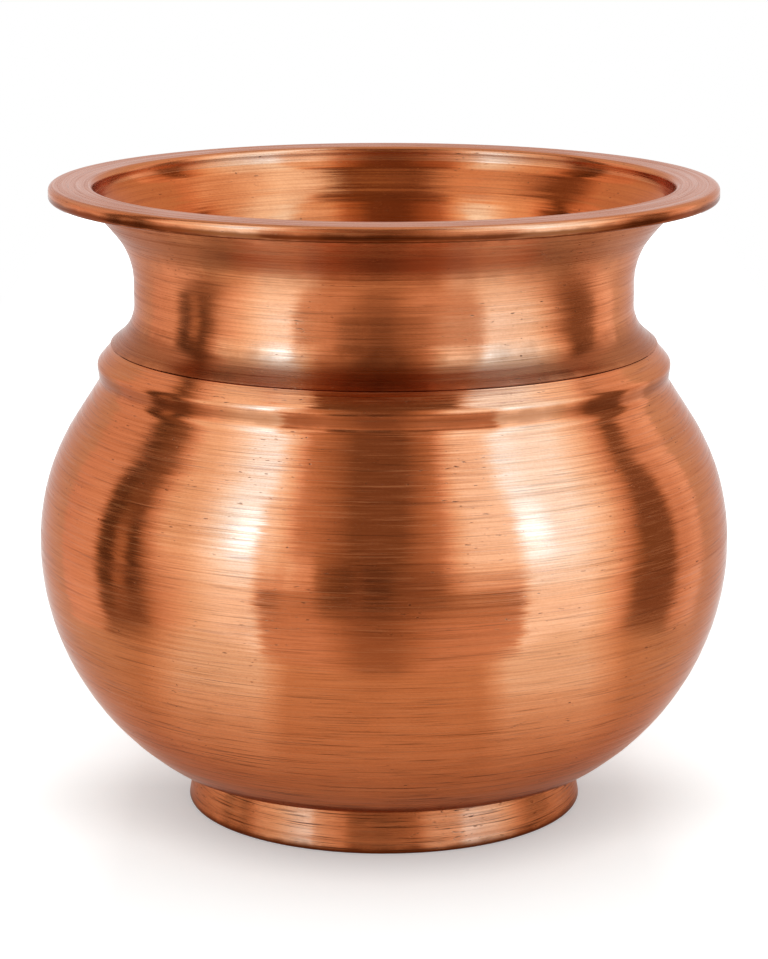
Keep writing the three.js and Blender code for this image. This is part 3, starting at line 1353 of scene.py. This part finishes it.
@dataclass(frozen=True)
class LightWall:
    """The curved wall of soft lights and dark cloth in front and at both sides, seen in reflections alone.

    Azimuths are degrees from the camera's side towards +X, and elevations degrees above the table.
    """

    distance: float = 1500.0
    from_azimuth: float = -130.0
    to_azimuth: float = 127.0
    lowest: float = -58.0
    highest: float = 80.0
    facet_width: float = 4.0
    facet_height: float = 6.0
    middle: float = 12.0
    cloth: float = 0.25
    cloth_above: float = 0.19
    cloth_top: Span = (50.0, 66.0)
    floor_far: float = 0.46
    floor_near: float = 0.50
    near: float = -45.0
    skirts: tuple[SoftLight, ...] = soft_lights(
        ((-60, 10), (-20, 22, -0.1), 0.75, (10, 16), (56, 16)),
        ((14, 18, 0.1), (60, 10), 0.8, (10, 16), (56, 16)),
        ((-97, 2.5), (-91, 2.5), 0.32, (-12, 6), (9, 6)),
        ((-31, 2), (-22, 2), 1.0, (3, 4), (16, 6)),
        ((-33, 3), (-21, 3), 0.4, HORIZON, (3, 4)),
        ((-140, 2), (-106.3, 4, -0.1), 0.95, HORIZON, (42, 8)),
        ((-140, 2), (-106.3, 4), 0.85, None, HORIZON),
        ((110, 5), (140, 2), 0.95, (-26, 6)),
        ((110, 5), (140, 2), 0.6, None, (-26, 6)),
        ((119, 6), (140, 2), 0.4, (-26, 6), (30, 10)),
    )
    lamps: tuple[SoftLight, ...] = soft_lights(
        ((-82, 11, -0.18), (-66, 8, -0.2), 2.0),
        ((-66, 8, -0.2), (-31, 9, -0.2), 2.0, LAMP_FOOT, (56, 12)),
        ((-104, 6), (-88, 8), 1.6, (44, 10)),
        ((-58, 17, -0.3), (-41.5, 4, -0.12), 2.0),
        ((-51, 6), (-43, 2.5), 3.2, (16, 8), (31, 10)),
        ((23, 10, 0.12), (48, 8, 0.12), 2.1, LAMP_FOOT, (56, 12)),
        ((48, 8, 0.12), (86, 14, 0.45), 2.1),
        ((99, 8), (120, 8), 1.6, (44, 10)),
        ((45.5, 5, 0.1), (73, 16, 0.4), 1.9),
        ((47.5, 4), (56.5, 6), 2.7, (16, 8), (31, 10)),
    )
    pools: tuple[SoftLight, ...] = soft_lights(
        ((-70, 30), (-41, 3), 2.5, (-52, 56), LAMP_FOOT),
        ((45.5, 3), (78, 20), 2.6, (-52, 56), LAMP_FOOT),
        ((-44, 6), (-15, 14), 0.54, None, HORIZON),
        ((11, 14), (46, 6), 0.58, None, HORIZON),
    )
    stands: tuple[SoftLight, ...] = soft_lights(
        ((-18.5, 2), (-10, 2), -0.12, HORIZON, (14, 8)),
        ((-6.5, 2), (3, 2), -0.12, HORIZON, (12, 10)),
        ((-106.3, 3), (-81, 6), -0.2, (-28, 6), HORIZON),
        ((-106.3, 3, -0.1), (-97, 3, -0.1), -0.13, (-14, 6)),
        ((-91, 2.5), (-80.5, 2.5), -0.15, HORIZON, (14, 6)),
        ((86, 10), (110, 5), -0.2, (-28, 6), HORIZON),
    )
    gain: float = 2.0
    strongest: float = 8.0
    tints: tuple[tuple[float, Colour], ...] = (
        (0.22, (0.640, 0.425, 0.320, 1.0)),
        (0.71, (0.570, 0.425, 0.350, 1.0)),
        (1.15, (0.500, 0.425, 0.430, 1.0)),
        (2.26, (0.345, 0.425, 0.520, 1.0)),
        (3.76, (0.245, 0.425, 0.720, 1.0)),
        (5.40, (0.175, 0.425, 0.960, 1.0)),
    )

    def strength(self, board: Board) -> Socket:
        """Lays out how strongly each place of the wall glows.

        Args:
            board: the wall's material.

        Returns:
            The strength.
        """
        x, y, z = board.parts(board.place())
        azimuth = board.math("DEGREES", board.math("ARCTAN2", x, board.times(y, -1.0)))
        sine = board.math("DIVIDE", z, self.distance * MM)
        elevation = board.math("DEGREES", board.math("ARCSINE", sine))
        height = board.math("MAXIMUM", board.minus(elevation, self.middle), 0.0)
        horizon = Edge(*HORIZON)
        floor = board.ranged(elevation, self.near, horizon.place, self.floor_near, self.floor_far)
        cloth = board.ranged(elevation, *self.cloth_top, self.cloth, self.cloth_above)
        above = horizon.reached(board, elevation, height)
        strength = board.blended(above, board.minus(cloth, floor), floor)
        for light in (*self.skirts, *self.lamps, *self.pools, *self.stands):
            strength = board.plus(strength, light.glow(board, azimuth, elevation, height))
        return strength

    def build(self) -> None:
        """Builds the wall and lights it."""
        band = arc(at(0, 0), self.distance, self.lowest, self.highest, self.facet_height)
        turn = self.to_azimuth - self.from_azimuth
        steps = round(turn / self.facet_width)
        wall = spun("light_wall", band, steps, closed=False, turn=turn, start=self.from_azimuth)
        material, board, _ = new_material("light_wall")
        material.node_tree.nodes.clear()
        strength = self.strength(board)
        stops = [(level / self.strongest, colour) for level, colour in self.tints]
        colour = board.ramp(board.math("DIVIDE", strength, self.strongest), stops)
        glow = board.wired("Emission", (colour, board.times(strength, self.gain)))
        board.wired("OutputMaterial", (glow.outputs[0],))
        wall.data.materials.append(material)
        wall.visible_camera = False
        wall.visible_diffuse = False
        wall.visible_shadow = False
        material.cycles.emission_sampling = "NONE"
        LOG.info("light wall with %d lamps", len(self.lamps))


@dataclass(frozen=True)
class Table:
    """The pale table top that the pot stands on, bright enough to be white away from the pot.

    The edges are in millimetres. The spans are in metres on the table, or in degrees round the pot.
    """

    front_edge: float = -113.0
    side_edge: float = 135.0
    back_edge: float = 900.0
    cuts: int = 8
    colour: Colour = (0.80, 0.84, 0.84, 1.0)
    shade: float = 0.985
    roughness: float = 0.7
    grain: float = 9.0
    painted_bounce_colour: Colour = (0.94, 0.79, 0.66, 1.0)
    painted_pool_tint: Colour = (0.72, 1.15, 1.7, 1.0)
    lift: float = 0.29
    front_painted_light: float = 0.12
    front_reach: Span = (0.037, 0.052)
    front_depth: Span = (-0.030, -0.008)
    back_painted_light: float = 0.12
    back_depth: Span = (0.002, 0.022)
    back_width: Span = (0.05, 0.07)
    side_painted_light: float = 0.75
    side_width: Span = (0.045, 0.12)
    mirrored_lift: float = 0.16
    painted_pool_light: float = 0.85
    painted_pool_begin: Span = (24.0, 32.0)
    painted_pool_end: Span = (55.0, 70.0)
    painted_pool_reach: Span = (0.048, 0.098)
    mirrored_side_painted_light: float = 0.12
    mirrored_side_width: Span = (0.045, 0.09)
    mirrored_side_depth: Span = (-0.05, 0.0)

    def build(self) -> None:
        """Builds the table top."""
        deselected()
        bpy.ops.mesh.primitive_plane_add(size=1.0, location=(0, 0, 0))
        table = bpy.context.object
        table.name = "table_top"
        bpy.ops.object.mode_set(mode="EDIT")
        bpy.ops.mesh.select_all(action="SELECT")
        size = (2 * self.side_edge * MM, (self.back_edge - self.front_edge) * MM, 1.0)
        bpy.ops.transform.resize(value=size, center_override=(0, 0, 0))
        bpy.ops.transform.translate(value=(0, (self.back_edge + self.front_edge) / 2 * MM, 0))
        bpy.ops.mesh.subdivide(number_cuts=self.cuts)
        bpy.ops.object.mode_set(mode="OBJECT")
        table.data.materials.append(self.material())

    def material(self) -> Material:
        """Builds the table's material, which is lifted where it is seen or mirrored, with painted light that
        narrows the pot's shadow and painted pools and bounce light that show in reflections.

        Returns:
            The material, with one Principled shader.
        """
        material, board, shader = new_material("pale_table")
        shader["Roughness"].default_value = self.roughness
        shader["Specular IOR Level"].default_value = 0.0
        place = board.place()
        x, y, _ = board.parts(place)
        wide = board.math("ABSOLUTE", x)
        reach = board.reach(x, y)
        # Painted pools of lamp light on the table at the pot's sides, seen only in reflections.
        around = board.math("DEGREES", board.math("ARCTAN2", wide, board.times(y, -1.0)))
        begun = board.ranged(around, *self.painted_pool_begin)
        window = board.times(begun, board.ranged(around, *self.painted_pool_end, 1.0, 0.0))
        painted_pool = board.times(window, board.ranged(reach, *self.painted_pool_reach))
        # Painted light beside the pot, seen only in reflections.
        near_side = board.ranged(wide, *self.mirrored_side_width)
        painted_light_beside_pot = board.times(near_side, board.ranged(y, *self.mirrored_side_depth))
        rays = board.add("LightPath").outputs
        mirrored = board.math("MAXIMUM", rays["Is Glossy Ray"], rays["Is Transmission Ray"])

        shade = (*(self.shade * c for c in self.colour[:3]), 1.0)
        paper = board.mixed(board.noise(place, self.grain, 2.0), self.colour, shade)
        # Painted warm bounce light from the copper: in reflections the pools and the table beside the pot
        # take a warmer colour.
        painted_bounce = board.mixed(board.math("MAXIMUM", painted_pool, painted_light_beside_pot), self.painted_bounce_colour, self.colour)
        board.feed(shader["Base Color"], board.mixed(mirrored, paper, painted_bounce))

        # Painted light where the table is seen: brighter at the sides, in front and behind, which narrows the
        # pot's shadow to a disc round the foot.
        painted_side = board.ranged(wide, *self.side_width, 0.0, self.side_painted_light)
        before = board.ranged(reach, *self.front_reach, 0.0, self.front_painted_light)
        painted_front = board.times(before, board.ranged(y, *self.front_depth, 1.0, 0.0))
        beyond = board.ranged(y, *self.back_depth, 0.0, self.back_painted_light)
        painted_back = board.times(beyond, board.ranged(wide, *self.back_width, 1.0, 0.0))
        seen = board.plus(board.plus(board.plus(painted_side, painted_front), painted_back), self.lift)
        in_metal = board.blended(painted_light_beside_pot, self.mirrored_side_painted_light, self.mirrored_lift)
        in_metal = board.blended(painted_pool, self.painted_pool_light, in_metal)
        strength = board.blended(mirrored, in_metal, board.times(rays["Is Camera Ray"], seen))
        tint = board.mixed(board.times(mirrored, painted_pool), WHITE, self.painted_pool_tint)
        board.feed(shader["Emission Color"], tint)
        board.feed(shader["Emission Strength"], strength)
        return material


@dataclass(frozen=True)
class Camera:
    """The photograph's camera: its place in metres, its angle in degrees and its lens in millimetres."""

    place: tuple[float, float, float] = (0.0, -0.5666, 0.1854)
    looking_down: float = 12.57
    lens: float = 120.13
    sensor: float = 36.0
    near: float = 0.01
    far: float = 20.0

    def build(self) -> None:
        """Places the camera."""
        lens = bpy.data.cameras.new("camera")
        lens.sensor_width = self.sensor
        lens.lens = self.lens
        lens.clip_start = self.near
        lens.clip_end = self.far
        camera = bpy.data.objects.new("camera", lens)
        bpy.context.scene.collection.objects.link(camera)
        camera.location = self.place
        camera.rotation_euler = (math.radians(90 - self.looking_down), 0.0, 0.0)
        bpy.context.scene.camera = camera


@dataclass(frozen=True)
class Studio:
    """The camera, the table, the wall of lights and the white room."""

    camera: Camera = Camera()
    table: Table = Table()
    wall: LightWall = LightWall()
    room: float = 1.0
    ambient: float = 0.95

    def room_light(self) -> None:
        """Makes the world: white where it is seen, a little dimmer where it lights."""
        world = bpy.data.worlds.new("white_room")
        bpy.context.scene.world = world
        world.use_nodes = True
        world.node_tree.nodes.clear()
        board = Board(world.node_tree)
        rays = board.add("LightPath").outputs
        seen = board.math("MAXIMUM", rays["Is Camera Ray"], rays["Is Glossy Ray"])
        seen = board.math("MAXIMUM", seen, rays["Is Transmission Ray"])
        strength = board.ranged(seen, 0.0, 1.0, self.ambient, self.room)
        background = board.wired("Background", (WHITE, strength))
        board.wired("OutputWorld", (background.outputs[0],))

    def build(self) -> None:
        """Builds the studio."""
        self.camera.build()
        self.table.build()
        self.room_light()
        self.wall.build()
        bpy.context.scene.view_settings.view_transform = "Standard"


def main() -> None:
    """Builds the studio and the pot."""
    logging.basicConfig(level=logging.INFO, format="%(name)s %(message)s")
    Studio().build()
    finishes = finished(shared_effects())
    belly = Belly()
    neck = Neck(belly)
    parts: list[Callable[[Finishes], None]] = [Foot().build, belly.build, neck.build, Rim(neck).build]
    for build in parts:
        build(finishes)


if __name__ == "__main__":
    main()
